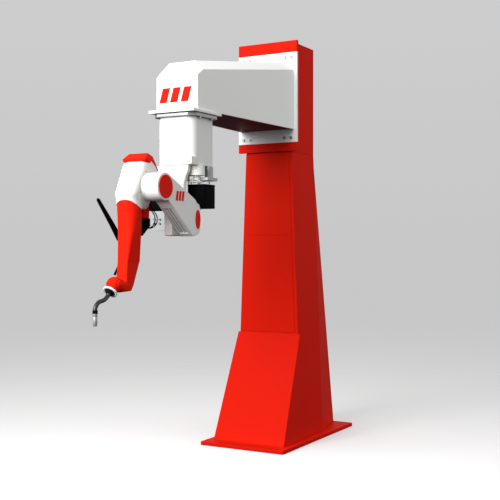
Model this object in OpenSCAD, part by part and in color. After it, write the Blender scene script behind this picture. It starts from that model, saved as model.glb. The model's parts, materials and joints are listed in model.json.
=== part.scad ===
// Inverted arc-welding robot arm hung from a cantilever boom on a pedestal column.
// Millimetres. Origin: floor face of the base plate, below the column's middle.
// +Z is up, the boom reaches toward -Y, and the upper arm hangs on the +X side.

/* [Column] */
// Width of the base plate
base_w = 690; // [640:1:760]
// Length of the base plate
base_l = 1240; // [1220:1:1320]
// Thickness of the base plate
base_t = 28; // [20:1:40]
// Radius of an anchor hole
anchor_r = 11; // [8:0.5:14]
// Height where the flared column meets the straight mast
column_top = 2195; // [2150:1:2198]
// Half width of the column at the base plate
column_foot_hw = 280; // [260:1:290]
// Half width of the mast
mast_hw = 198; // [180:1:205]
// Height of the mast's top face
mast_top = 3029; // [3020:1:3035]
// Wall of the welded sheet-metal column, mast and boom
wall = 10; // [6:1:14]

/* [Boom] */
// Height of the boom's underside
boom_floor = 2360; // [2350:1:2370]
// Half width of the boom at the mast
boom_rear_hw = 227; // [220:1:235]
// Half width of the boom at its free end
boom_front_hw = 160; // [155:1:170]
// Half width of the mounting flange
flange_hw = 251; // [246:1:260]

/* [Robot base] */
// Half width of the fixed robot base
pedestal_hw = 142; // [138:1:146]
// Height of the lower face of the fixed robot base
pedestal_floor = 2003; // [2002:1:2006]

/* [Arm] */
// Height of the shoulder axis
shoulder_z = 1650; // [1645:1:1655]
// Height of the elbow axis
elbow_z = 1838; // [1834:1:1842]
// Radius of the round elbow end of the upper arm
elbow_r = 85; // [80:1:88]
// Radius of the forearm where it enters the elbow housing
forearm_r = 75; // [72:0.5:75]
// Radius of the torch's swan neck
neck_r = 13; // [11:0.5:13]
// Radial running clearance of the shafts in their bores
running = 0.05; // [0.02:0.01:0.08]

/* [Hidden] */
$fn = 64;
// The column's front face, rear face and the heights of its parts
front_y = -191;
rear_y = 185;
brace_rear_y = 586;
brace_rear_hw = 192;
brace_top = 2108;
skirt_front_y = -515;
skirt_top = 820;
skirt_foot_hw = 296;
skirt_top_hw = 267;
panel_t = 4;
panel_inset = 26;
panel_seam_z = 1564;
seam = 4;
// The mounting frame on the mast's front: plate, then flange between two bars
mast_front_y = -185;
mount_t = 8;
flange_t = 22;
mount_front_y = mast_front_y - mount_t;
flange_front_y = mount_front_y - flange_t;
shelf_z = 2199;
flange_floor = 2264;
flange_top = 2942;
// Boom outline
boom_front_y = -1448;
boom_rear_side_top = 2806;
boom_rear_top = 2866;
boom_rear_chamfer = 67;
boom_front_side_top = 2612;
boom_front_top = 2685;
boom_front_chamfer = 62;
// Axis 1 and the fixed robot base under the boom
axis1_y = -1340;
adapter_floor = 2341;
base_flange_top = 2336;
base_flange_floor = 2316;
pedestal_corner = 60;
spigot_r = 70;
// Axes 2 to 6
shoulder_y = -1520;
elbow_y = -1868;
forearm_y = -1960;
wrist_y = -2108;
wrist_z = 1252;
// The torch axis points down and forward, this far below the horizontal
nose_tilt = 45;
arm_in_x = 100;
arm_out_x = 200;
shaft_r = 30;
spindle_r = 40;
wrist_pin_r = 12;
torch_spigot_r = 20;
press = 0.02;

// Half width of the flared column at a height
function column_hw(z) =
    column_foot_hw + (mast_hw - column_foot_hw) * (z - base_t) / (column_top - base_t);

// A box from its lowest to its highest corner
module span(low, high) {
    translate(low) cube(high - low);
}

// A cylinder along +X, Y or Z from a start point
module rod_x(start, length, r) {
    translate(start) rotate([0, 90, 0]) cylinder(h = length, r = r);
}
module rod_y(start, length, r) {
    translate(start) rotate([-90, 0, 0]) cylinder(h = length, r = r);
}
module rod_z(start, length, r) {
    translate(start) cylinder(h = length, r = r);
}

// A Y-Z outline carried from x0 to x1
module carry_x(outline, x0, x1) {
    translate([x0, 0, 0]) rotate([90, 0, 90]) linear_extrude(x1 - x0) polygon(outline);
}

// An X-Z outline carried from y0 to y1
module carry_y(outline, y0, y1) {
    translate([0, y1, 0]) rotate([90, 0, 0]) linear_extrude(y1 - y0) polygon(outline);
}

// A tube along a route; each ring stands square to the route, its first point toward side
function unit(v) = v / norm(v);
function route_way(p, i) = unit(p[min(i + 1, len(p) - 1)] - p[max(i - 1, 0)]);
module sweep(route, radii, sides, side = [1, 0, 0]) {
    rings = len(route);
    points = [for (i = [0:rings - 1])
        let(t = route_way(route, i), u = unit(cross(t, side)), v = cross(t, u))
        for (k = [0:sides - 1])
            route[i] + radii[i] * (cos(360 * k / sides) * u + sin(360 * k / sides) * v)];
    walls = [for (i = [0:rings - 2], k = [0:sides - 1])
        [i * sides + k, i * sides + (k + 1) % sides,
         (i + 1) * sides + (k + 1) % sides, (i + 1) * sides + k]];
    first = [for (k = [sides - 1:-1:0]) k];
    last = [for (k = [0:sides - 1]) (rings - 1) * sides + k];
    polyhedron(points, concat([first], walls, [last]));
}

// ---------------------------------------------------------------- column and boom

module base_plate() {
    color("red") difference() {
        span([-base_w / 2, -base_l / 2, 0], [base_w / 2, base_l / 2, base_t]);
        for (x = [-315, 315], y = [-585, 585]) rod_z([x, y, -1], base_t + 2, anchor_r);
    }
}

// The straight-sided flared box, drawn in by a distance all round
module column_solid(inset) {
    foot = column_foot_hw - inset;
    top = mast_hw - inset;
    intersection() {
        carry_y([[-foot, base_t], [foot, base_t], [top, column_top], [-top, column_top]],
            front_y + inset, rear_y - inset);
        span([-foot, front_y - 1, base_t + inset], [foot, rear_y + 1, column_top - inset]);
    }
}

module column_shell() {
    color("red") difference() {
        column_solid(0);
        column_solid(wall);
    }
}

// The rear brace: a wedge that leans against the column's rear face
module brace_solid(inset) {
    foot_hw = column_foot_hw - inset;
    rear_hw = brace_rear_hw - inset;
    top_hw = column_hw(brace_top) - inset;
    z0 = base_t + inset;
    y0 = rear_y + inset;
    y1 = brace_rear_y - inset;
    z1 = brace_top - 6 * inset;
    polyhedron([[-foot_hw, y0, z0], [foot_hw, y0, z0], [rear_hw, y1, z0], [-rear_hw, y1, z0],
        [-top_hw, y0, z1], [top_hw, y0, z1]],
        [[0, 1, 2, 3], [0, 4, 5, 1], [3, 2, 5, 4], [0, 3, 4], [1, 5, 2]]);
}

module rear_brace() {
    color("red") difference() {
        brace_solid(0);
        brace_solid(wall);
    }
}

// The toe box in front of the column
module skirt_solid(inset) {
    intersection() {
        carry_x([[skirt_front_y + inset, base_t + inset], [front_y - inset, base_t + inset],
            [front_y - inset, skirt_top - 3 * inset]], -skirt_foot_hw, skirt_foot_hw);
        carry_y([[-skirt_foot_hw + inset, base_t], [skirt_foot_hw - inset, base_t],
            [skirt_top_hw - inset, skirt_top], [-skirt_top_hw + inset, skirt_top]],
            skirt_front_y - 1, front_y + 1);
    }
}

module front_skirt() {
    color("red") difference() {
        skirt_solid(0);
        skirt_solid(wall);
    }
}

// A sheet on the column's front face between two heights
module front_panel(z0, z1) {
    a = column_hw(z0) - panel_inset;
    b = column_hw(z1) - panel_inset;
    color("red") carry_y([[-a, z0], [a, z0], [b, z1], [-b, z1]], front_y - panel_t, front_y);
}
module upper_front_panel() { front_panel(panel_seam_z + seam / 2, column_top - 20); }
module lower_front_panel() { front_panel(skirt_top + 6, panel_seam_z - seam / 2); }

module mast_tube() {
    color("red") difference() {
        span([-mast_hw, mast_front_y, column_top], [mast_hw, rear_y, mast_top - 8]);
        span([-mast_hw + wall, mast_front_y + wall, column_top - 1],
            [mast_hw - wall, rear_y - wall, mast_top]);
    }
}

module mast_top_plate() {
    color("red") span([-mast_hw, mast_front_y, mast_top - 8], [mast_hw, rear_y, mast_top]);
}

module mount_plate() {
    color("red")
        span([-flange_hw, mount_front_y, shelf_z], [flange_hw, mast_front_y, mast_top]);
}
module cap_bar() {
    color("red")
        span([-flange_hw, flange_front_y, flange_top], [flange_hw, mount_front_y, mast_top]);
}
module shelf_bar() {
    color("red")
        span([-flange_hw, flange_front_y, shelf_z], [flange_hw, mount_front_y, flange_floor]);
}
module boom_flange() {
    color("white")
        span([-flange_hw, flange_front_y, flange_floor], [flange_hw, mount_front_y, flange_top]);
}

// Pairs of hexagon-socket screws near the flange's four corners
module boom_flange_bolts() {
    color("silver") for (side = [-1, 1], x = [150, 205], z = [2298, 2905])
        rod_y([side * x, flange_front_y - 12, z], 12, 11);
}

// The boom's outer skin drawn in by a distance: one station at the mast, one near the tip
module boom_solid(inset) {
    hull() {
        boom_station(flange_front_y - 0.5, boom_rear_hw - inset, boom_floor, boom_rear_side_top,
            boom_rear_top - inset, boom_rear_chamfer);
        boom_station(boom_front_y + boom_front_chamfer, boom_front_hw + 3 - inset, boom_floor,
            boom_front_side_top + 10, boom_front_top - inset, boom_front_chamfer);
        boom_station(boom_front_y + inset, boom_front_hw - inset, boom_floor,
            boom_front_side_top - boom_front_chamfer / 2, boom_front_side_top - inset,
            boom_front_chamfer / 2);
    }
}

// One thin slice of the boom, with its two upper corners cut off
module boom_station(y, hw, floor_z, side_top, top, chamfer) {
    carry_y([[-hw, floor_z], [hw, floor_z], [hw, side_top], [hw - chamfer, top],
        [-hw + chamfer, top], [-hw, side_top]], y - 0.5, y + 0.5);
}

// A welded skin, open below, where the bottom cover closes it
module boom_shell() {
    color("white") difference() {
        boom_solid(0);
        translate([0, 0, -1]) boom_solid(wall);
    }
}

// The sheet that closes the boom from below, between its side walls
module boom_bottom_cover() {
    gap = wall + 1.5;
    y0 = boom_front_y + gap;
    y1 = flange_front_y - 2;
    color("darkred") translate([0, 0, boom_floor + 1]) linear_extrude(6)
        polygon([[-boom_front_hw + gap, y0], [boom_front_hw - gap, y0],
            [boom_rear_hw - gap, y1], [-boom_rear_hw + gap, y1]]);
}

// Three slanted bars, a plain mark on the boom's front
module boom_emblem() {
    color("red") for (x = [-95, -12, 71])
        carry_y([[x - 42, 2415], [x + 14, 2415], [x + 42, 2510], [x - 14, 2510]],
            boom_front_y - 3.5, boom_front_y - 0.5);
}

module adapter_plate() {
    color("white") span([-175, -1519, adapter_floor], [175, -1176, boom_floor]);
}

module flange_spacer() {
    color("dimgray") rod_z([0, axis1_y, base_flange_top], adapter_floor - base_flange_top, 155);
}

// A square with cut corners
module robot_base_flange() {
    s = 165;
    c = 45;
    color("gainsboro") translate([0, axis1_y, base_flange_floor])
        linear_extrude(base_flange_top - base_flange_floor)
        polygon([[-s, -s + c], [-s + c, -s], [s - c, -s], [s, -s + c],
            [s, s - c], [s - c, s], [-s + c, s], [-s, s - c]]);
}

module base_flange_bolts() {
    color("silver") for (x = [-153, 153], y = [-70, 70])
        rod_z([x, axis1_y + y, base_flange_floor - 10], 10, 9);
}

module rounded_square(half, corner) {
    flat = 2 * (half - corner);
    square([flat, 2 * half], center = true);
    square([2 * half, flat], center = true);
    for (x = [-1, 1], y = [-1, 1])
        translate([x * (half - corner), y * (half - corner)]) circle(corner);
}

module base_pedestal() {
    bearing_r = spigot_r + 20;
    color("white") difference() {
        translate([0, axis1_y, pedestal_floor])
            linear_extrude(base_flange_floor - pedestal_floor)
            rounded_square(pedestal_hw, pedestal_corner);
        rod_z([0, axis1_y, pedestal_floor - 1], 54, bearing_r + press);
        rod_z([0, axis1_y, pedestal_floor], base_flange_floor - pedestal_floor + 1, 80);
    }
}

module pedestal_screws() {
    color("dimgray") for (x = [-75, 0, 60], z = [2075, 2160, 2245])
        rod_y([x, axis1_y - pedestal_hw - 1.5, z], 1.5, 4.5);
}

module connector_box() {
    color("ivory") difference() {
        translate([105, axis1_y - pedestal_hw - 14, 2006]) {
            cube([38, 54, 48]);
            for (z = [14, 34]) rod_y([22, -3, z], 3, 4);
        }
        translate([0, axis1_y, 2000]) linear_extrude(60)
            rounded_square(pedestal_hw + press, pedestal_corner);
    }
}

module axis1_bearing() {
    color("gray") difference() {
        rod_z([0, axis1_y, pedestal_floor + 2], 50, spigot_r + 20);
        rod_z([0, axis1_y, pedestal_floor], 60, spigot_r + running);
    }
}

module axis1_reducer() {
    color("gray") rod_z([0, axis1_y, pedestal_floor + 66], 110, 78);
}

// ---------------------------------------------------------------- carousel, turns on axis 1

bracket_front = axis1_y - pedestal_hw;
bracket_rear = bracket_front + 34;
carousel_top = pedestal_floor - 2;
block_front = -1653;
block_floor = 1545;
block_in_x = 40;
block_out_x = 98;

// Bracket plate, neck under the bearing, spine between them, and the shoulder block
module carousel_housing() {
    color("white") difference() {
        union() {
            carry_y([[-pedestal_hw, carousel_top], [110, carousel_top], [104, 1965], [84, 1920],
                [72, 1870], [70, 1820], [70, 1600], [52, block_floor], [-60, block_floor],
                [-78, 1575], [-78, 1860], [-pedestal_hw, 1910]], bracket_front, bracket_rear);
            span([-60, bracket_rear - 1, 1905], [30, axis1_y, carousel_top]);
            span([-40, bracket_rear - 1, 1560], [20, -1420, 1906]);
            rod_z([0, axis1_y, 1945], carousel_top - 1945, 78);
            rod_z([0, axis1_y, 1950], pedestal_floor + 52 - 1950, spigot_r);
            carry_x([[block_front, block_floor], [bracket_rear, block_floor],
                [bracket_rear, 1790], [block_front + 70, 1790], [block_front, 1730]],
                block_in_x, block_out_x);
        }
        rod_x([30, shoulder_y, shoulder_z], 100, shaft_r + running);
    }
}

gear_x = 108;
gear_y = -1378;
motor_floor = 1725;
motor_top = 1881;

// The drive adapter of axis 1, which hangs beside the neck and carries the motor
module axis1_gearbox() {
    color("ivory") difference() {
        union() {
            rod_z([gear_x, gear_y, 1939], carousel_top - 1939, 52);
            rod_z([gear_x, gear_y, motor_top], 60, 24);
        }
        rod_z([0, axis1_y, 1900], 120, 78 + press);
    }
}

module axis1_brake() {
    color("lightgray") difference() {
        rod_z([136, -1276, 1926], carousel_top - 1926, 28);
        rod_z([0, axis1_y, 1900], 120, 78 + press);
    }
}

module axis1_motor_flange() {
    color("lightgray") difference() {
        span([85, -1372, 1906], [186, -1248, 1926]);
        rod_z([gear_x, gear_y, 1900], 40, 24 + press);
    }
}

// A square servo motor with rounded edges and a connector lump below
module axis1_motor() {
    color("black") {
        translate([108, -1324, motor_floor]) linear_extrude(motor_top - motor_floor)
            rounded_square(69, 10);
        span([70, -1370, motor_floor - 8], [110, -1330, motor_floor]);
    }
}

// Leads that loop out of the motor's top and back: two before the adapter's neck, one beside it
long_lead = [[50, -1386, 1881], [50, -1386, 1887], [60, -1400, 1899], [84, -1411, 1909],
    [108, -1414, 1911], [132, -1411, 1907], [152, -1400, 1895], [160, -1386, 1887],
    [160, -1386, 1881]];
short_lead = [[68, -1386, 1881], [68, -1386, 1887], [78, -1402, 1893], [96, -1411, 1897],
    [118, -1411, 1896], [134, -1402, 1892], [142, -1386, 1887], [142, -1386, 1881]];
side_lead = [[171, -1376, 1881], [171, -1376, 1887], [176, -1366, 1895], [178, -1350, 1899],
    [176, -1334, 1895], [171, -1324, 1887], [171, -1324, 1881]];
module motor_cables() {
    lead_r = 4;
    color("lightgray") {
        for (route = [long_lead, short_lead])
            sweep(route, [for (p = route) lead_r], 12, [0, 1, 0]);
        sweep(side_lead, [for (p = side_lead) lead_r], 12);
    }
}

module axis2_motor() {
    color("black") {
        span([-217, bracket_front + 10, 1709], [-80, -1330, 1832]);
        rod_x([-80, -1395, 1770], 40, 30);
    }
}

module cable_plate() {
    color("gainsboro") span([-194, bracket_front + 10, 1580], [-80, bracket_front + 16, 1708]);
}

module cable_connectors() {
    color("gray") for (x = [-160, -118], z = [1655, 1628])
        rod_y([x, bracket_front, z], 10, 8);
}

// ---------------------------------------------------------------- upper arm, turns on axis 2

arm_length = norm([elbow_y - shoulder_y, elbow_z - shoulder_z]);
// The facet at the shoulder end turns toward +Y by this angle
facet_turn = 18;
facet_front_y = shoulder_y - 20;
arm_rear_y = shoulder_y + 100;

// Outline of the casting in the Y-Z plane, from the elbow's top round the shoulder
arm_outline = [
    [elbow_y + elbow_r * cos(64), elbow_z + elbow_r * sin(64)],
    [shoulder_y + 20, shoulder_z + 106],
    [shoulder_y + 78, shoulder_z + 94],
    [arm_rear_y, shoulder_z + 70],
    [arm_rear_y, shoulder_z - 62],
    [shoulder_y + 66, shoulder_z - 92],
    [shoulder_y - 44, shoulder_z - 109],
    [elbow_y + elbow_r * cos(-71), elbow_z + elbow_r * sin(-71)]];

// Unit vectors along the lower edge and out of it
under_way = unit(arm_outline[7] - arm_outline[6]);
under_out = [-under_way[1], under_way[0]];

// A bar along the arm's lower face: x range, start and end along it, height out of the face
module under_bar(x0, x1, from, to, low, high) {
    base = arm_outline[6];
    carry_x([base + from * under_way + low * under_out, base + to * under_way + low * under_out,
        base + to * under_way + high * under_out, base + from * under_way + high * under_out],
        x0, x1);
}

module upper_arm_casting() {
    color("white") difference() {
        union() {
            carry_x(arm_outline, arm_in_x, arm_out_x);
            rod_x([arm_in_x, elbow_y, elbow_z], arm_out_x - arm_in_x, elbow_r);
        }
        translate([arm_out_x, facet_front_y, 0]) rotate([0, 0, facet_turn])
            span([0, -40, 1400], [80, 300, 1900]);
        under_bar(118, 182, 30, 270, -14, 10);
        rod_x([arm_in_x - 1, shoulder_y, shoulder_z], 60, shaft_r + press);
        rod_x([arm_in_x - 1, elbow_y, elbow_z], 86, shaft_r + running);
    }
}

module shoulder_shaft() {
    color("gray") rod_x([44, shoulder_y, shoulder_z], arm_in_x + 55 - 44, shaft_r);
}

module shoulder_cap() {
    color("red") translate([arm_out_x, facet_front_y, shoulder_z]) rotate([0, 0, facet_turn])
        rod_x([0, 62, 0], 3, 60);
}

module elbow_cap() {
    color("red") rod_x([arm_out_x, elbow_y, elbow_z], 4, 71);
}

module arm_under_cover() {
    color("dimgray") for (x = [122, 143, 164]) under_bar(x, x + 14, 34, 266, -14, -5);
}

module arm_emblem() {
    color("red") for (k = [0:2])
        carry_x([[-1762 + 32 * k, 1758], [-1740 + 32 * k, 1758],
            [-1728 + 32 * k, 1818], [-1750 + 32 * k, 1818]], arm_out_x, arm_out_x + 2);
}

// ---------------------------------------------------------------- elbow housing, axis 3

collar_r = forearm_r + 4;
collar_floor = 1700;
pocket_top = 1770;
// The arch cut in the collar's front, over the forearm, turned a little toward +X
arch_half_w = 88;
arch_h = 78;
arch_top = 1752;
arch_turn = 16;
screw_seats = [[-1900, 1930], [-1960, 1800]];
seat_x = 74;

// Middle points of the rounded corners: y, z, half width and corner radius
housing_corners = [
    [-1985, 1790, 36, 42], [-1974, 1764, 36, 42], [-1908, 1952, 44, 38], [-1900, 1968, 54, 22],
    [-1846, 1988, 54, 24], [-1790, 1956, 52, 20], [-1768, 1922, 46, 24], [-1796, 1850, 48, 26],
    [-1872, 1728, 40, 28]];
module housing_shape(extra) {
    hull() for (c = housing_corners, side = [-1, 1])
        translate([side * c[2], c[0], c[1]]) sphere(r = c[3] + extra, $fn = 32);
}

module elbow_housing() {
    color("white") difference() {
        union() {
            housing_shape(0);
            rod_z([0, forearm_y, collar_floor], 80, collar_r);
        }
        translate([0, forearm_y, arch_top - arch_h]) rotate([0, 0, arch_turn])
            scale([arch_half_w / arch_h, 1, 1]) rod_y([-4, -130, 0], 140, arch_h);
        rod_z([0, forearm_y, 1650], pocket_top - 1650, forearm_r + 1);
        rod_z([0, forearm_y, 1700], 140, spindle_r + running);
        rod_x([40, elbow_y, elbow_z], 60, shaft_r + press);
        rod_x([seat_x, elbow_y, elbow_z], 40, 96);
        for (at = screw_seats, x = [-seat_x - 26, seat_x]) rod_x([x, at[0], at[1]], 26, 7);
    }
}

module elbow_drum() {
    color("white") difference() {
        rod_x([seat_x, elbow_y, elbow_z], arm_in_x - 1.5 - seat_x, elbow_r - 0.5);
        rod_x([70, elbow_y, elbow_z], 40, shaft_r + press);
    }
}

module elbow_shaft() {
    color("gray") rod_x([42, elbow_y, elbow_z], arm_in_x + 82 - 42, shaft_r);
}

// The lid: a low cap with sloping sides over the housing's top
lid_corners = [
    [-1908, 2004, 76, 12], [-1870, 2033, 64, 12], [-1824, 2020, 62, 12], [-1798, 1996, 50, 12],
    [-1756, 1949, 54, 11]];
module elbow_top_cover() {
    color("red") difference() {
        hull() for (c = lid_corners, side = [-1, 1])
            translate([side * c[2], c[0], c[1]]) sphere(r = c[3], $fn = 32);
        housing_shape(0.3);
    }
}

module housing_screws() {
    color("dimgray") for (at = screw_seats, x = [-seat_x - 3.5, seat_x])
        rod_x([x, at[0], at[1]], 3.5, 4);
}

// Bracket under the housing's rear that carries the wire feeder
feeder_rear = -1806;
module feeder_bracket() {
    color("red") difference() {
        span([-22, -1862, 1650], [36, feeder_rear, 1760]);
        housing_shape(0.2);
    }
}

// The feeder's body narrows toward its lower left
module wire_feeder() {
    color("black") carry_y([[-25, 1650], [40, 1650], [42, 1604], [-17, 1542], [-25, 1542]],
        -1868, feeder_rear + 4);
}

// The conduit leaves the feeder's left side, turns under it and rises along the forearm
conduit_route = [[-25, -1840, 1590], [-37, -1840, 1590], [-58, -1841, 1578], [-79, -1845, 1553],
    [-98, -1858, 1526],
    [-110, -1882, 1512], [-112, -1910, 1524], [-111, -1934, 1549], [-110, -1980, 1601],
    [-110, -2040, 1667], [-110, -2110, 1743], [-110, -2122, 1756], [-110, -2128, 1762]];
conduit_radii = [17, 17, 17, 18, 19, 19, 19, 19, 17.5, 15, 13, 11, 5];
module hose_conduit() {
    color("black") sweep(conduit_route, conduit_radii, 16, [0.3, 0.2, 1]);
}

// Two thin leads loop from the feeder's rear up to the housing
lead_route = [[0, -1802, 1590], [0, -1792, 1590], [5, -1774, 1591], [16, -1757, 1600],
    [26, -1746, 1618], [30, -1742, 1644], [26, -1744, 1670], [14, -1756, 1698],
    [4, -1772, 1724], [0, -1786, 1752], [0, -1796, 1776]];
module feeder_cables() {
    color("black") for (x = [4, 20])
        translate([x, 0, 0]) sweep(lead_route, [for (p = lead_route) 3.5], 8);
}

// ---------------------------------------------------------------- forearm, rolls on axis 4

// The forearm's ball end, open in the middle for the knuckle, with a cheek on each side
ball_r = 49.5;
nest_r = 53;
cheek_in_x = 37;
pin_reach = 45;

// Four short posts at the corners of a rounded section, for a hull to wrap: the section's
// left, right, front and rear limits, then its corner radii front left, front right and rear
module forearm_slice(z, left, right, front, rear, front_left, front_right, rear_r) {
    post(left + front_left, front + front_left, z, front_left);
    post(right - front_right, front + front_right, z, front_right);
    post(left + rear_r, rear - rear_r, z, rear_r);
    post(right - rear_r, rear - rear_r, z, rear_r);
}
module post(x, y, z, r) {
    translate([x, y, z]) cylinder(h = 2, r = r, $fn = 32);
}

// The sections where two lengths of the forearm meet. The lower length starts a little inside
// the upper one, so that their walls never lie on each other.
module upper_slice(inset) {
    forearm_slice(1560 + 10 * inset, -64 + inset, 66 - inset, -2030 + inset, -1893 - inset,
        60, 34, 55);
}
module middle_slice(inset) {
    forearm_slice(1385 + 10 * inset, -46 + inset, 46 - inset, -2042 + inset, -1912 - inset,
        36, 8, 10);
}
module ankle_slice(inset) {
    forearm_slice(1240 + 10 * inset, -46 + inset, 44 - inset, -2050 + inset, -1974 - inset,
        24, 6, 10);
}
meet = 0.4;
// The round neck inside the collar ends in a narrow ledge at this height
neck_floor = collar_floor - 10;

module forearm_casting() {
    color("red") difference() {
        union() {
            rod_z([0, forearm_y, neck_floor], pocket_top - 4 - neck_floor, forearm_r);
            hull() {
                rod_z([0, forearm_y, neck_floor + 1], 8, forearm_r - 1);
                upper_slice(0);
            }
            hull() {
                upper_slice(meet);
                middle_slice(0);
            }
            hull() {
                middle_slice(meet);
                ankle_slice(0);
            }
            hull() {
                ankle_slice(meet);
                forearm_slice(1212, -44, 42, -2050, -1990, 16, 6, 10);
                translate([0, wrist_y, wrist_z]) sphere(r = ball_r);
            }
        }
        rod_x([-cheek_in_x, wrist_y, wrist_z], 2 * cheek_in_x, nest_r);
        rod_x([-pin_reach - 1, wrist_y, wrist_z], 2 * pin_reach + 2, wrist_pin_r + press);
        rod_z([0, forearm_y, 1680], 100, spindle_r + press);
        boot_shape(press);
    }
}

module forearm_spindle() {
    color("gray") rod_z([0, forearm_y, 1681], 150, spindle_r);
}

module wrist_pin() {
    color("gray") rod_x([-pin_reach, wrist_y, wrist_z], 2 * pin_reach, wrist_pin_r);
}

module boot_shape(extra) {
    translate([-42, -2050, 1309]) rotate([-32, 0, 0])
        cylinder(h = 56, r1 = 8 + extra, r2 = 4 + extra);
}
module cable_boot() {
    color("black") boot_shape(0);
}

// ---------------------------------------------------------------- wrist, turns on axis 5

// Children stand with +X along the torch axis, from the wrist centre
module on_nose() {
    translate([0, wrist_y, wrist_z]) rotate([0, 0, -90]) rotate([0, nose_tilt, 0]) children();
}

module wrist_knuckle() {
    color("red") difference() {
        union() {
            intersection() {
                translate([0, wrist_y, wrist_z]) sphere(r = ball_r - 1);
                span([-cheek_in_x + 1, wrist_y - ball_r, wrist_z - ball_r],
                    [cheek_in_x - 1, wrist_y + ball_r, wrist_z + ball_r]);
            }
            on_nose() {
                rod_x([28, 0, 0], 16, 36);
                translate([39, 0, 0]) rotate([0, 90, 0]) cylinder(h = 6, r1 = 36, r2 = 42);
                rod_x([45, 0, 0], 7, 42);
            }
        }
        rod_x([-60, wrist_y, wrist_z], 120, wrist_pin_r + running);
        on_nose() rod_x([16, 0, 0], 60, torch_spigot_r + running);
    }
}

// ---------------------------------------------------------------- torch, turns on axis 6

module wrist_ring() {
    color("white") on_nose() difference() {
        rod_x([52.5, 0, 0], 10, 45);
        rod_x([52, 0, 0], 20, 33 + press);
    }
}

// A spigot in the knuckle, and a bell in front of it
module torch_holder() {
    color("black") on_nose() {
        rod_x([18, 0, 0], 36, torch_spigot_r);
        rod_x([53, 0, 0], 7, 33);
        translate([60, 0, 0]) rotate([0, 90, 0]) cylinder(h = 16, r1 = 28, r2 = 16);
    }
}

neck_route = [for (s = [76, 88]) [0, wrist_y - s * cos(nose_tilt), wrist_z - s * sin(nose_tilt)]];
neck_tail = [[0, -2186, 1177], [0, -2201, 1169], [0, -2218, 1164], [0, -2236, 1161],
    [0, -2252, 1157], [0, -2267, 1148], [0, -2278, 1136], [0, -2285, 1124], [0, -2287, 1117],
    [0, -2287, 1112]];
module torch_neck() {
    route = concat(neck_route, neck_tail);
    color("dimgray") sweep(route, [for (p = route) neck_r], 24);
}

nozzle_y = -2287;
module torch_sleeve() {
    color("black") rod_z([0, nozzle_y, 1092], 20, 15.5);
}

module gas_nozzle() {
    color("silver") difference() {
        union() {
            rod_z([0, nozzle_y, 1044], 48, 13.5);
            translate([0, nozzle_y, 1021]) cylinder(h = 23, r1 = 11, r2 = 13.5);
        }
        rod_z([0, nozzle_y, 1020], 80, 8.5);
    }
}

module contact_tip() {
    color("orange") rod_z([0, nozzle_y, 1026], 66, 4);
}

base_plate();
column_shell();
rear_brace();
front_skirt();
upper_front_panel();
lower_front_panel();
mast_tube();
mast_top_plate();
mount_plate();
cap_bar();
shelf_bar();
boom_flange();
boom_flange_bolts();
boom_shell();
boom_bottom_cover();
boom_emblem();
adapter_plate();
flange_spacer();
robot_base_flange();
base_flange_bolts();
base_pedestal();
pedestal_screws();
connector_box();
axis1_bearing();
axis1_reducer();
carousel_housing();
axis1_gearbox();
axis1_brake();
axis1_motor_flange();
axis1_motor();
motor_cables();
axis2_motor();
cable_plate();
cable_connectors();
upper_arm_casting();
shoulder_shaft();
shoulder_cap();
elbow_cap();
arm_under_cover();
arm_emblem();
elbow_housing();
elbow_drum();
elbow_shaft();
elbow_top_cover();
housing_screws();
feeder_bracket();
wire_feeder();
hose_conduit();
feeder_cables();
forearm_casting();
forearm_spindle();
wrist_pin();
cable_boot();
wrist_knuckle();
wrist_ring();
torch_holder();
torch_neck();
torch_sleeve();
gas_nozzle();
contact_tip();
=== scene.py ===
"""Looks for an inverted arc-welding robot arm that hangs from a cantilever boom on a pedestal column."""
import json
import math

import bmesh
import bpy
from mathutils import Matrix, Vector


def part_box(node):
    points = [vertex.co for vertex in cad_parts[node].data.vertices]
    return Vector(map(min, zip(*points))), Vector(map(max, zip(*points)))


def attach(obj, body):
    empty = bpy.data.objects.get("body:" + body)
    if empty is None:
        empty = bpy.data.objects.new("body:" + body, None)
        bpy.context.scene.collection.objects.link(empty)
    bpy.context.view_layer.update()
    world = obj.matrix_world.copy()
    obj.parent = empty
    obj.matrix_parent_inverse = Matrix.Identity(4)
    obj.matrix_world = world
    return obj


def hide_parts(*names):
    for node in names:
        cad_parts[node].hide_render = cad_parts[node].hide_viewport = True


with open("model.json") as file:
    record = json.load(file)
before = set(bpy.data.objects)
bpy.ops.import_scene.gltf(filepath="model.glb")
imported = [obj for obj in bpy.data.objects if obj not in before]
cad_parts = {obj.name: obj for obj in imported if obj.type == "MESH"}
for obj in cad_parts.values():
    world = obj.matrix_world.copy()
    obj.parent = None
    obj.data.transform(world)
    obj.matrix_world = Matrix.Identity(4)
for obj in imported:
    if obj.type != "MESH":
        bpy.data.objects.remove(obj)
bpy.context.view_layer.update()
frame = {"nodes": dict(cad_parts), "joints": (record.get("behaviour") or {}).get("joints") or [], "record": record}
nodes = frame["nodes"]

# ---------------------------------------------------------------- camera, light and floor

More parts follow.
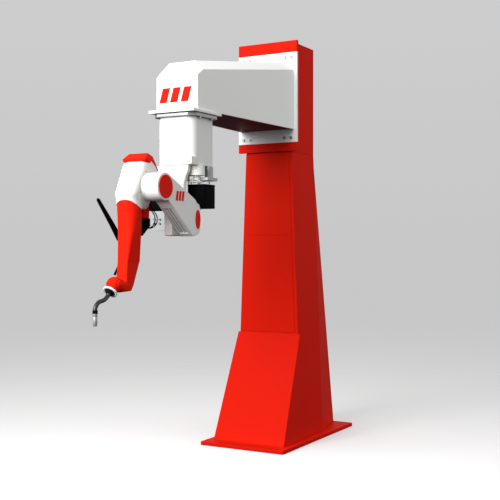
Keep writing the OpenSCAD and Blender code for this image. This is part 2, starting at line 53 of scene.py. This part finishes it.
CAMERA_PLACE = (3.405, -6.526, 1.476)
CAMERA_TURN = 29.4  # degrees from looking along +Y, toward -X
CAMERA_PITCH = -0.2
CAMERA_LENS = 67.6  # mm, on a 36 mm sensor
KEY_PLACE = (-0.95, -7.0, 4.3)
KEY_AIM = (0, -0.8, 1.6)
KEY_SIZE = 4.6
KEY_POWER = 640
FILL_PLACE = (3.6, 0.8, 3.0)
FILL_AIM = (0.2, -0.6, 2.6)
FILL_SIZE = 2.0
FILL_POWER = 18
BACKDROP = 0.612
BACKDROP_AT_HORIZON = 0.94 * BACKDROP
BACKDROP_RISE = 0.26  # height of the view direction at which the backdrop is full
SKY_LIGHT = 0.81
GROUND_LIGHT = 0.04
SKY_FROM = -0.32  # heights of the light direction between which ground turns to sky
SKY_TO = 0.28
FLOOR_RADIUS = 60
FLOOR_CENTRE = (0.8, -1.6)
FLOOR_REACH = 16.5  # distance at which the floor has faded out
FLOOR_FADE = 3


def make_camera():
    camera = bpy.data.objects.new("camera", bpy.data.cameras.new("camera"))
    bpy.context.scene.collection.objects.link(camera)
    camera.location = CAMERA_PLACE
    camera.rotation_euler = (math.radians(90 + CAMERA_PITCH), 0, math.radians(CAMERA_TURN))
    camera.data.lens = CAMERA_LENS
    camera.data.sensor_width = 36
    camera.data.clip_end = 200
    bpy.context.scene.camera = camera


def area_light(name, place, aim, size, power):
    data = bpy.data.lights.new(name, "AREA")
    data.shape = "DISK"
    data.size = size
    data.energy = power
    lamp = bpy.data.objects.new(name, data)
    bpy.context.scene.collection.objects.link(lamp)
    lamp.location = place
    lamp.rotation_euler = (Vector(aim) - Vector(place)).to_track_quat("-Z", "Y").to_euler()


def make_lights():
    area_light("key", KEY_PLACE, KEY_AIM, KEY_SIZE, KEY_POWER)
    area_light("fill", FILL_PLACE, FILL_AIM, FILL_SIZE, FILL_POWER)
    make_world()


def make_world():
    """A grey backdrop for the camera; for the light, a pale sky over a dark ground."""
    world = bpy.data.worlds.new("studio")
    bpy.context.scene.world = world
    world.use_nodes = True
    tree = world.node_tree
    sky = tree.nodes["Background"]
    height = tree.nodes.new("ShaderNodeSeparateXYZ")
    place = tree.nodes.new("ShaderNodeTexCoord")
    ramp = tree.nodes.new("ShaderNodeMapRange")
    ramp.inputs["From Min"].default_value = SKY_FROM
    ramp.inputs["From Max"].default_value = SKY_TO
    ramp.inputs["To Min"].default_value = GROUND_LIGHT
    ramp.inputs["To Max"].default_value = SKY_LIGHT
    backdrop = tree.nodes.new("ShaderNodeBackground")
    fall = tree.nodes.new("ShaderNodeMapRange")
    fall.inputs["From Max"].default_value = BACKDROP_RISE
    fall.inputs["To Min"].default_value = BACKDROP_AT_HORIZON
    fall.inputs["To Max"].default_value = BACKDROP
    tree.links.new(height.outputs["Z"], fall.inputs["Value"])
    tree.links.new(fall.outputs["Result"], backdrop.inputs["Strength"])
    path = tree.nodes.new("ShaderNodeLightPath")
    mix = tree.nodes.new("ShaderNodeMixShader")
    tree.links.new(place.outputs["Generated"], height.inputs["Vector"])
    tree.links.new(height.outputs["Z"], ramp.inputs["Value"])
    tree.links.new(ramp.outputs["Result"], sky.inputs["Strength"])
    tree.links.new(path.outputs["Is Camera Ray"], mix.inputs["Fac"])
    tree.links.new(sky.outputs["Background"], mix.inputs[1])
    tree.links.new(backdrop.outputs["Background"], mix.inputs[2])
    tree.links.new(mix.outputs["Shader"], tree.nodes["World Output"].inputs["Surface"])
    sky.inputs["Color"].default_value = (1, 1, 1, 1)
    backdrop.inputs["Color"].default_value = (1, 1, 1, 1)


def make_floor():
    """A white floor that fades into the grey backdrop; it sends no light back up."""
    bpy.ops.mesh.primitive_circle_add(vertices=128, radius=FLOOR_RADIUS, fill_type="NGON")
    floor = bpy.context.object
    floor.name = "floor"
    floor.location = (*FLOOR_CENTRE, 0)
    floor.visible_diffuse = False
    floor.visible_glossy = False
    material = bpy.data.materials.new("floor")
    material.use_nodes = True
    tree = material.node_tree
    shader = tree.nodes["Principled BSDF"]
    shader.inputs["Base Color"].default_value = (0.93, 0.93, 0.93, 1)
    shader.inputs["Roughness"].default_value = 0.8
    shader.inputs["Specular IOR Level"].default_value = 0.0
    place = tree.nodes.new("ShaderNodeTexCoord")
    length = tree.nodes.new("ShaderNodeVectorMath")
    length.operation = "LENGTH"
    ramp = tree.nodes.new("ShaderNodeMapRange")
    ramp.inputs["From Min"].default_value = 0
    ramp.inputs["From Max"].default_value = FLOOR_REACH
    ramp.inputs["To Min"].default_value = 1
    ramp.inputs["To Max"].default_value = 0
    fade = tree.nodes.new("ShaderNodeMath")
    fade.operation = "POWER"
    fade.inputs[1].default_value = FLOOR_FADE
    clear = tree.nodes.new("ShaderNodeBsdfTransparent")
    mix = tree.nodes.new("ShaderNodeMixShader")
    tree.links.new(place.outputs["Object"], length.inputs[0])
    tree.links.new(length.outputs["Value"], ramp.inputs["Value"])
    tree.links.new(ramp.outputs["Result"], fade.inputs[0])
    tree.links.new(fade.outputs["Value"], mix.inputs["Fac"])
    tree.links.new(clear.outputs["BSDF"], mix.inputs[1])
    tree.links.new(shader.outputs["BSDF"], mix.inputs[2])
    tree.links.new(mix.outputs["Shader"], tree.nodes["Material Output"].inputs["Surface"])
    floor.data.materials.append(material)


# ---------------------------------------------------------------- materials

def base_material(name, color, rough, metal=0.0, specular=0.5):
    material = bpy.data.materials.new(name)
    material.use_nodes = True
    shader = material.node_tree.nodes["Principled BSDF"]
    shader.inputs["Base Color"].default_value = (*color, 1)
    shader.inputs["Roughness"].default_value = rough
    shader.inputs["Metallic"].default_value = metal
    shader.inputs["Specular IOR Level"].default_value = specular
    return material, material.node_tree, shader


def noise(tree, scale, detail=2.0, stretch=(1, 1, 1)):
    """Noise over the object's own coordinates, finer with scale."""
    place = tree.nodes.new("ShaderNodeTexCoord")
    grid = tree.nodes.new("ShaderNodeMapping")
    grid.inputs["Scale"].default_value = stretch
    wave = tree.nodes.new("ShaderNodeTexNoise")
    wave.inputs["Scale"].default_value = scale
    wave.inputs["Detail"].default_value = detail
    tree.links.new(place.outputs["Object"], grid.inputs["Vector"])
    tree.links.new(grid.outputs["Vector"], wave.inputs["Vector"])
    return wave


def vary_roughness(tree, shader, wave, low, high):
    spread = tree.nodes.new("ShaderNodeMapRange")
    spread.inputs["To Min"].default_value = low
    spread.inputs["To Max"].default_value = high
    tree.links.new(wave.outputs["Fac"], spread.inputs["Value"])
    tree.links.new(spread.outputs["Result"], shader.inputs["Roughness"])


def vary_color(tree, shader, wave, color, depth):
    """Lets the colour drift a little darker in patches."""
    mix = tree.nodes.new("ShaderNodeMix")
    mix.data_type = "RGBA"
    mix.inputs["A"].default_value = (*[c * (1 - depth) for c in color], 1)
    mix.inputs["B"].default_value = (*color, 1)
    tree.links.new(wave.outputs["Fac"], mix.inputs["Factor"])
    tree.links.new(mix.outputs["Result"], shader.inputs["Base Color"])


def bump(tree, shader, wave, strength, distance):
    relief = tree.nodes.new("ShaderNodeBump")
    relief.inputs["Strength"].default_value = strength
    relief.inputs["Distance"].default_value = distance
    tree.links.new(wave.outputs["Fac"], relief.inputs["Height"])
    tree.links.new(relief.outputs["Normal"], shader.inputs["Normal"])


def enamel(name, color, rough=0.5, specular=0.02, peel=0.06):
    """Sprayed enamel: a faint orange peel, uneven gloss and a slow drift of colour."""
    material, tree, shader = base_material(name, color, rough, specular=specular)
    vary_color(tree, shader, noise(tree, 1.6, 3.0), color, 0.05)
    vary_roughness(tree, shader, noise(tree, 3.0), rough - 0.06, rough + 0.08)
    bump(tree, shader, noise(tree, 240.0, 1.0), peel, 0.0004)
    return material


def cast_enamel(name, color, rough=0.46, specular=0.03):
    """Enamel over a sand-cast skin, a little rougher than sheet metal."""
    material, tree, shader = base_material(name, color, rough, specular=specular)
    vary_color(tree, shader, noise(tree, 5.0, 3.0), color, 0.04)
    vary_roughness(tree, shader, noise(tree, 9.0), rough - 0.05, rough + 0.1)
    bump(tree, shader, noise(tree, 420.0, 3.0), 0.12, 0.0004)
    return material


def metal(name, color, rough, grain=(1, 1, 1)):
    """Bare metal with a fine machined grain."""
    material, tree, shader = base_material(name, color, rough, metal=1.0)
    wave = noise(tree, 120.0, 3.0, grain)
    vary_color(tree, shader, wave, color, 0.12)
    vary_roughness(tree, shader, wave, rough - 0.08, rough + 0.1)
    bump(tree, shader, wave, 0.06, 0.0002)
    return material


def polymer(name, color, rough, grain=600.0, specular=0.12):
    """Moulded plastic or rubber with a fine grain."""
    material, tree, shader = base_material(name, color, rough, specular=specular)
    wave = noise(tree, grain, 2.0)
    vary_color(tree, shader, noise(tree, 12.0, 3.0), color, 0.15)
    vary_roughness(tree, shader, wave, rough - 0.05, rough + 0.08)
    bump(tree, shader, wave, 0.1, 0.0003)
    return material


MATERIALS = {
    "red_steel": enamel("red_steel", (0.65, 0.011, 0.003)),
    # maroon_steel: the boom's red underside, its paint made dark to stand in for the shade beneath the boom
    # (painted shade)
    "maroon_steel": enamel("maroon_steel", (0.10, 0.006, 0.006)),
    "white_steel": enamel("white_steel", (0.88, 0.89, 0.87)),
    # white_casting: a white set darker than white_steel, painted shade for the robot hanging in the shade of the
    # boom and column
    "white_casting": cast_enamel("white_casting", (0.80, 0.80, 0.785)),
    "red_casting": cast_enamel("red_casting", (0.78, 0.013, 0.003)),
    "red_plastic": enamel("red_plastic", (0.76, 0.011, 0.003), 0.45, 0.03),
    "white_ring": enamel("white_ring", (0.88, 0.88, 0.87), 0.4, 0.1),
    "cream_casting": cast_enamel("cream_casting", (0.82, 0.81, 0.74)),
    "grey_metal": metal("grey_metal", (0.40, 0.41, 0.41), 0.55),
    "steel": metal("steel", (0.42, 0.42, 0.43), 0.38),
    "black_motor": enamel("black_motor", (0.002, 0.002, 0.0025), 0.5, 0.02),
    "black_plastic": polymer("black_plastic", (0.004, 0.004, 0.005), 0.5, specular=0.05),
    "black_rubber": polymer("black_rubber", (0.002, 0.002, 0.002), 0.6, specular=0.04),
    "grey_cable": polymer("grey_cable", (0.60, 0.61, 0.59), 0.5),
    "dark_neck": metal("dark_neck", (0.06, 0.065, 0.07), 0.4),
    "nozzle_metal": metal("nozzle_metal", (0.42, 0.43, 0.43), 0.6, (1, 1, 6)),
    "copper_tip": metal("copper_tip", (0.72, 0.36, 0.2), 0.35),
}


def dress(thing, slot):
    """Gives a piece or CAD node its material."""
    thing.data.materials.clear()
    thing.data.materials.append(MATERIALS[slot])


def soften(thing, width, segments=3, angle=30):
    """Rounds the hard edges of a piece or CAD node with modifiers only."""
    weld = thing.modifiers.new("weld", "WELD")
    weld.merge_threshold = 0.00005
    edge = thing.modifiers.new("edge", "BEVEL")
    edge.width = width
    edge.segments = segments
    edge.limit_method = "ANGLE"
    edge.angle_limit = math.radians(angle)
    edge.harden_normals = False
    shade = thing.modifiers.new("shade", "WEIGHTED_NORMAL")
    shade.keep_sharp = True


# ---------------------------------------------------------------- making pieces

BODY_OF = {n: body for body, group in frame["record"]["behaviour"]["bodies"].items() for n in group}
SLOT_OF = {row["node"]: row["material_slot"] for row in frame["record"]["subparts"]}
SAME_PLACE = 0.00002  # vertices closer than this are one


def add_piece(name, bm, *stands_for, sharp=35):
    """Makes a piece from a bmesh; edges steeper than sharp degrees stay hard."""
    bmesh.ops.recalc_face_normals(bm, faces=bm.faces)
    for face in bm.faces:
        face.smooth = True
    for edge in bm.edges:
        if len(edge.link_faces) == 2 and edge.calc_face_angle() > math.radians(sharp):
            edge.smooth = False
    mesh = bpy.data.meshes.new(name)
    bm.to_mesh(mesh)
    bm.free()
    piece = bpy.data.objects.new(name, mesh)
    bpy.context.scene.collection.objects.link(piece)
    place_piece(piece, *stands_for)


def place_piece(piece, *stands_for):
    """Gives a piece the material of the first node's slot and that node's body."""
    first = stands_for[0]
    dress(piece, SLOT_OF[first])
    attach(piece, BODY_OF[first])
    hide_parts(*stands_for)


def cast(name, voxel, passes, *stands_for):
    """A casting: the CAD solids made one skin, with every edge and corner rounded."""
    bm = bmesh.new()
    for node in stands_for:
        bm.from_mesh(nodes[node].data)
    bmesh.ops.remove_doubles(bm, verts=bm.verts, dist=SAME_PLACE)
    rough = bpy.data.meshes.new(name + "_rough")
    bm.to_mesh(rough)
    bm.free()
    blank = bpy.data.objects.new(name + "_blank", rough)
    bpy.context.scene.collection.objects.link(blank)
    skin = blank.modifiers.new("skin", "REMESH")
    skin.mode = "VOXEL"
    skin.voxel_size = voxel
    smooth = blank.modifiers.new("smooth", "SMOOTH")
    smooth.factor = 0.5
    smooth.iterations = passes
    graph = bpy.context.evaluated_depsgraph_get()
    mesh = bpy.data.meshes.new_from_object(blank.evaluated_get(graph))
    bpy.data.objects.remove(blank)
    mesh.name = name
    for face in mesh.polygons:
        face.use_smooth = True
    piece = bpy.data.objects.new(name, mesh)
    bpy.context.scene.collection.objects.link(piece)
    place_piece(piece, *stands_for)


def square_to(way):
    """Two unit directions square to a direction and to each other."""
    way = Vector(way).normalized()
    side = Vector((0, 0, 1)) if abs(way.z) < 0.9 else Vector((1, 0, 0))
    across = side.cross(way).normalized()
    return across, way.cross(across)


def join_rings(bm, rings):
    """Faces between rings of equal length, with the two ends filled."""
    count = len(rings[0])
    for first, second in zip(rings, rings[1:]):
        for k in range(count):
            bm.faces.new((first[k], first[(k + 1) % count], second[(k + 1) % count], second[k]))
    bm.faces.new(list(reversed(rings[0])))
    bm.faces.new(rings[-1])


def lathe(bm, place, way, profile, sides=40):
    """Turns a profile of (distance along, radius) pairs round an axis."""
    place, way = Vector(place), Vector(way).normalized()
    u, v = square_to(way)
    rings = []
    for along, radius in profile:
        ring = []
        for k in range(sides):
            turn = 2 * math.pi * k / sides
            ring.append(bm.verts.new(place + along * way
                                     + radius * (math.cos(turn) * u + math.sin(turn) * v)))
        rings.append(ring)
    join_rings(bm, rings)


def socket_screw(bm, place, way, radius, height, sides=24):
    """A cap screw's head with a hexagon socket, standing on a face at place."""
    place, way = Vector(place), Vector(way).normalized()
    u, v = square_to(way)

    def ring(along, size, hexagon):
        made = []
        for k in range(sides):
            turn = 2 * math.pi * k / sides
            reach = size
            if hexagon:
                reach = size * math.cos(math.pi / 6) / math.cos((turn % (math.pi / 3)) - math.pi / 6)
            made.append(bm.verts.new(place + along * way
                                     + reach * (math.cos(turn) * u + math.sin(turn) * v)))
        return made

    chamfer = 0.12 * radius
    join_rings(bm, [
        ring(0, radius, False), ring(height - chamfer, radius, False),
        ring(height, radius - chamfer, False), ring(height, 0.58 * radius, True),
        ring(0.35 * height, 0.55 * radius, True)])


def node_box(node):
    low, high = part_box(node)
    return Vector(low), Vector(high)


def islands(node):
    """The box of each separate solid in a node, as (low, high) corners."""
    bm = bmesh.new()
    bm.from_mesh(nodes[node].data)
    bmesh.ops.remove_doubles(bm, verts=bm.verts, dist=SAME_PLACE)
    seen, boxes = set(), []
    for start in bm.verts:
        if start in seen:
            continue
        seen.add(start)
        group, edge = [start], [start]
        while edge:
            for link in edge.pop().link_edges:
                for vert in link.verts:
                    if vert not in seen:
                        seen.add(vert)
                        group.append(vert)
                        edge.append(vert)
        low = Vector([min(v.co[i] for v in group) for i in range(3)])
        high = Vector([max(v.co[i] for v in group) for i in range(3)])
        boxes.append((low, high))
    bm.free()
    return boxes


def screws(name, node, way):
    """Socket screws in the places of a node's plain heads; way points out of the face."""
    way = Vector(way)
    axis = max(range(3), key=lambda i: abs(way[i]))
    bm = bmesh.new()
    for low, high in islands(node):
        middle = (low + high) / 2
        middle[axis] = low[axis] if way[axis] > 0 else high[axis]
        radius = (high[(axis + 1) % 3] - low[(axis + 1) % 3]) / 2
        socket_screw(bm, middle, way, radius, high[axis] - low[axis])
    add_piece(name, bm, node)


def curve_through(points, step):
    """Catmull-Rom points through a route, about a step apart."""
    points = [Vector(p) for p in points]
    ends = [2 * points[0] - points[1], *points, 2 * points[-1] - points[-2]]
    made = []
    for a, b, c, d in zip(ends, ends[1:], ends[2:], ends[3:]):
        count = max(1, round((c - b).length / step))
        for k in range(count):
            t = k / count
            made.append(0.5 * (2 * b + (c - a) * t + (2 * a - 5 * b + 4 * c - d) * t * t
                               + (3 * b - a - 3 * c + d) * t ** 3))
    made.append(points[-1])
    return made


def tube(bm, path, radius_at, sides=24):
    """A closed tube along a path; radius_at takes the distance from the start and the total."""
    lengths = [0.0]
    for a, b in zip(path, path[1:]):
        lengths.append(lengths[-1] + (b - a).length)
    u = square_to(path[1] - path[0])[0]
    rings = []
    for i, point in enumerate(path):
        way = (path[min(i + 1, len(path) - 1)] - path[max(i - 1, 0)]).normalized()
        u = (u - u.dot(way) * way).normalized()
        v = way.cross(u)
        radius = radius_at(lengths[i], lengths[-1])
        rings.append([bm.verts.new(point + radius * (
            math.cos(2 * math.pi * k / sides) * u + math.sin(2 * math.pi * k / sides) * v))
            for k in range(sides)])
    join_rings(bm, rings)


def mm(points):
    return [Vector(p) / 1000 for p in points]


def rounded_block(bm, low, high, axis, corner, levels, sides=6):
    """A block with round corners along an axis; levels are (share of length, inset) pairs."""
    low, high = Vector(low), Vector(high)
    u, v = [i for i in range(3) if i != axis]
    middle = (low + high) / 2
    rings = []
    for share, inset in levels:
        half_u = (high[u] - low[u]) / 2 - inset
        half_v = (high[v] - low[v]) / 2 - inset
        ring = []
        for quarter, (su, sv) in enumerate(((1, 1), (-1, 1), (-1, -1), (1, -1))):
            for k in range(sides + 1):
                turn = math.pi / 2 * (quarter + k / sides)
                spot = Vector(middle)
                spot[axis] = low[axis] + share * (high[axis] - low[axis])
                spot[u] += su * (half_u - corner) + corner * math.cos(turn)
                spot[v] += sv * (half_v - corner) + corner * math.sin(turn)
                ring.append(bm.verts.new(spot))
        rings.append(ring)
    join_rings(bm, rings)


# ---------------------------------------------------------------- the pieces

def make_castings():
    cast("elbow_housing_skin", 0.003, 12, "elbow_housing", "elbow_drum")
    cast("lid_skin", 0.002, 6, "elbow_top_cover")
    cast("forearm_skin", 0.003, 7, "forearm_casting")
    cast("knuckle_skin", 0.0016, 5, "wrist_knuckle")
    cast("shoulder_skin", 0.004, 5, "carousel_housing")
    cast("upper_arm_skin", 0.003, 5, "upper_arm_casting")
    cast("feeder_skin", 0.002, 6, "wire_feeder")


def make_screws():
    screws("flange_screws", "boom_flange_bolts", (0, -1, 0))
    screws("base_screws", "base_flange_bolts", (0, 0, -1))
    screws("pedestal_screw_heads", "pedestal_screws", (0, -1, 0))
    screws("connectors", "cable_connectors", (0, -1, 0))


def motor_levels(length):
    """An end flange, a groove, a long body, a groove and a rear cap."""
    plate, groove, depth, edge = 0.012, 0.003, 0.003, 0.0015
    marks = [(0, edge), (edge, 0), (plate - edge, 0), (plate, edge)]
    body = [(plate, depth), (plate + groove, depth), (plate + groove, edge)]
    rear = length - 0.03
    tail = [(rear, edge), (rear, depth), (rear + groove, depth), (rear + groove, edge),
            (length - 2 * edge, edge), (length, 3 * edge)]
    return [(along / length, inset) for along, inset in marks + body + tail]


def rear_first(levels):
    return [(1 - share, inset) for share, inset in reversed(levels)]


MOTOR_CORNER = 0.012


def make_motors():
    """Motor 1 stands on end with a round-cornered plug below; motor 2 lies with its snout along +X."""
    low, high = node_box("axis1_motor")
    plug_height, plug_corner = 0.008, 0.006
    plug_low = low + Vector((0.031, 0.023, 0))
    plug_high = plug_low + Vector((0.04, 0.04, plug_height))
    body_low = low + Vector((0, 0, plug_height))
    bm = bmesh.new()
    rounded_block(bm, body_low, high, 2, MOTOR_CORNER, rear_first(motor_levels(high.z - low.z)))
    rounded_block(bm, plug_low, plug_high, 2, plug_corner, [(0, 0.0015), (0.2, 0), (1.2, 0)])
    add_piece("motor_1_body", bm, "axis1_motor")

    low, high = node_box("axis2_motor")
    snout, snout_radius, sunk, snout_offset = 0.04, 0.03, 0.002, 0.006
    body_high = Vector((high.x - snout, high.y, high.z))
    middle = (low + high) / 2
    bm = bmesh.new()
    rounded_block(bm, low, body_high, 0, MOTOR_CORNER, rear_first(motor_levels(body_high.x - low.x)))
    lathe(bm, (body_high.x - sunk, middle.y + snout_offset, middle.z), (1, 0, 0),
          [(0, snout_radius), (snout + sunk, snout_radius)])
    add_piece("motor_2_body", bm, "axis2_motor")


CONDUIT_ROUTE = [
    (-25, -1840, 1590), (-37, -1840, 1590), (-58, -1841, 1578), (-79, -1845, 1553),
    (-98, -1858, 1526), (-110, -1882, 1512), (-112, -1910, 1524), (-111, -1934, 1549),
    (-110, -1980, 1601), (-110, -2040, 1667), (-110, -2110, 1743), (-110, -2122, 1756),
    (-110, -2128, 1762)]
LEAD_ROUTE = [
    (0, -1804, 1590), (0, -1792, 1590), (5, -1774, 1591), (16, -1757, 1600), (26, -1746, 1618),
    (30, -1742, 1644), (26, -1744, 1670), (14, -1756, 1698), (4, -1772, 1724), (0, -1786, 1752),
    (0, -1796, 1776)]


def make_hoses():
    """The ribbed conduit and the two thin leads behind the forearm."""
    pitch, rib = 0.007, 0.0013
    thick, taper, taper_from = 0.0178, 0.0075, 0.2
    plain_start, round_end, least_share = 0.012, 0.016, 0.06

    def conduit_radius(along, total):
        radius = thick - taper * max(0, along - taper_from) / (total - taper_from)
        left = total - along
        if left < round_end:
            return radius * math.sqrt(max(least_share, 1 - (1 - left / round_end) ** 2))
        if along < plain_start:
            return radius
        return radius - rib / 2 * math.cos(2 * math.pi * along / pitch)

    bm = bmesh.new()
    tube(bm, curve_through(mm(CONDUIT_ROUTE), 0.0014), conduit_radius)
    add_piece("conduit", bm, "hose_conduit", sharp=70)

    lead_radius = 0.0035
    bm = bmesh.new()
    for side in (4, 20):
        route = [(side + x, y, z) for x, y, z in LEAD_ROUTE]
        tube(bm, curve_through(mm(route), 0.004), lambda along, total: lead_radius, 12)
    add_piece("feeder_leads", bm, "feeder_cables")


NOSE_TILT = math.radians(45)
NOSE_WAY = Vector((0, -math.cos(NOSE_TILT), -math.sin(NOSE_TILT)))
NECK_TAIL = [
    (0, -2186, 1177), (0, -2201, 1169), (0, -2218, 1164), (0, -2236, 1161), (0, -2252, 1157),
    (0, -2267, 1148), (0, -2278, 1136), (0, -2285, 1124), (0, -2287, 1112), (0, -2287, 1106)]


def wrist_centre():
    joint = next(j for j in frame["joints"] if j["name"] == "axis_5")
    return Vector(joint["pos_m"])


def make_torch():
    wrist = wrist_centre()
    bm = bmesh.new()
    lathe(bm, wrist, NOSE_WAY, [
        (0.0525, 0.0335), (0.0525, 0.0445), (0.0535, 0.045), (0.0595, 0.045), (0.0622, 0.0425),
        (0.0625, 0.0405), (0.0615, 0.0340), (0.0600, 0.0335)], 64)
    add_piece("flange_ring", bm, "wrist_ring")

    bm = bmesh.new()
    lathe(bm, wrist, NOSE_WAY, [
        (0.018, 0.019), (0.019, 0.020), (0.053, 0.020), (0.053, 0.0325), (0.059, 0.0328),
        (0.060, 0.0320), (0.0605, 0.0280), (0.064, 0.0268), (0.070, 0.0215), (0.0755, 0.0168),
        (0.076, 0.0155)], 64)
    add_piece("torch_bell", bm, "torch_holder", sharp=50)

    collar = 0.012

    def neck_radius(along, total):
        if along < collar:
            return 0.0142
        if total - along < collar:
            return 0.0134
        return 0.0126

    neck = [wrist + s * NOSE_WAY for s in (0.074, 0.082, 0.090)] + mm(NECK_TAIL)
    bm = bmesh.new()
    tube(bm, curve_through(neck, 0.0025), neck_radius, 32)
    add_piece("swan_neck", bm, "torch_neck", sharp=60)

    low, high = node_box("torch_sleeve")
    middle = (low + high) / 2
    up = (0, 0, 1)
    bm = bmesh.new()
    lathe(bm, (middle.x, middle.y, low.z), up, [
        (0, 0.0138), (0.0008, 0.0150), (0.003, 0.0155), (0.0062, 0.0155), (0.0068, 0.0148),
        (0.0074, 0.0155), (0.0126, 0.0155), (0.0132, 0.0148), (0.0138, 0.0155), (0.0175, 0.0155),
        (0.0196, 0.0146), (0.02, 0.0132)], 48)
    add_piece("insulating_sleeve", bm, "torch_sleeve")

    nozzle_foot = node_box("gas_nozzle")[0].z
    bm = bmesh.new()
    lathe(bm, (middle.x, middle.y, nozzle_foot), up, [
        (0.0700, 0.0088), (0.0715, 0.0130), (0.0700, 0.0135), (0.0560, 0.0135), (0.0552, 0.0130),
        (0.0544, 0.0135), (0.0230, 0.0134), (0.0150, 0.0128), (0.0060, 0.0118), (0.0012, 0.0111),
        (0.0000, 0.0104), (0.0004, 0.0094), (0.0030, 0.0088), (0.0400, 0.0087)], 48)
    add_piece("nozzle", bm, "gas_nozzle", sharp=60)

    tip_foot = node_box("contact_tip")[0].z
    bm = bmesh.new()
    lathe(bm, (middle.x, middle.y, tip_foot), up, [
        (0, 0.0008), (0.0002, 0.0026), (0.006, 0.0038), (0.008, 0.004), (0.066, 0.004)], 24)
    add_piece("tip", bm, "contact_tip")


EDGES = {
    "base_plate": 0.003, "column_shell": 0.003, "rear_brace": 0.003, "front_skirt": 0.003,
    "upper_front_panel": 0.0012, "lower_front_panel": 0.0012, "mast_tube": 0.003,
    "mast_top_plate": 0.002, "mount_plate": 0.002, "cap_bar": 0.002, "shelf_bar": 0.002,
    "boom_flange": 0.002, "boom_shell": 0.006, "boom_bottom_cover": 0.001, "boom_emblem": 0.0008,
    "adapter_plate": 0.0025, "flange_spacer": 0.001, "robot_base_flange": 0.002,
    "base_pedestal": 0.004, "connector_box": 0.002, "axis1_gearbox": 0.003, "axis1_brake": 0.002,
    "axis1_motor_flange": 0.002, "cable_plate": 0.001, "shoulder_cap": 0.0012, "elbow_cap": 0.0015,
    "arm_under_cover": 0.002, "arm_emblem": 0.0006, "feeder_bracket": 0.004, "cable_boot": 0.001,
}


def dress_frame():
    """The CAD nodes that stay: a material each, and soft edges."""
    for name, thing in nodes.items():
        dress(thing, SLOT_OF[name])
        for face in thing.data.polygons:
            face.use_smooth = True
    for name, width in EDGES.items():
        soften(nodes[name], width)


make_camera()
make_lights()
make_floor()
dress_frame()
make_castings()
make_screws()
make_motors()
make_hoses()
make_torch()

bpy.context.scene.view_settings.view_transform = "Standard"
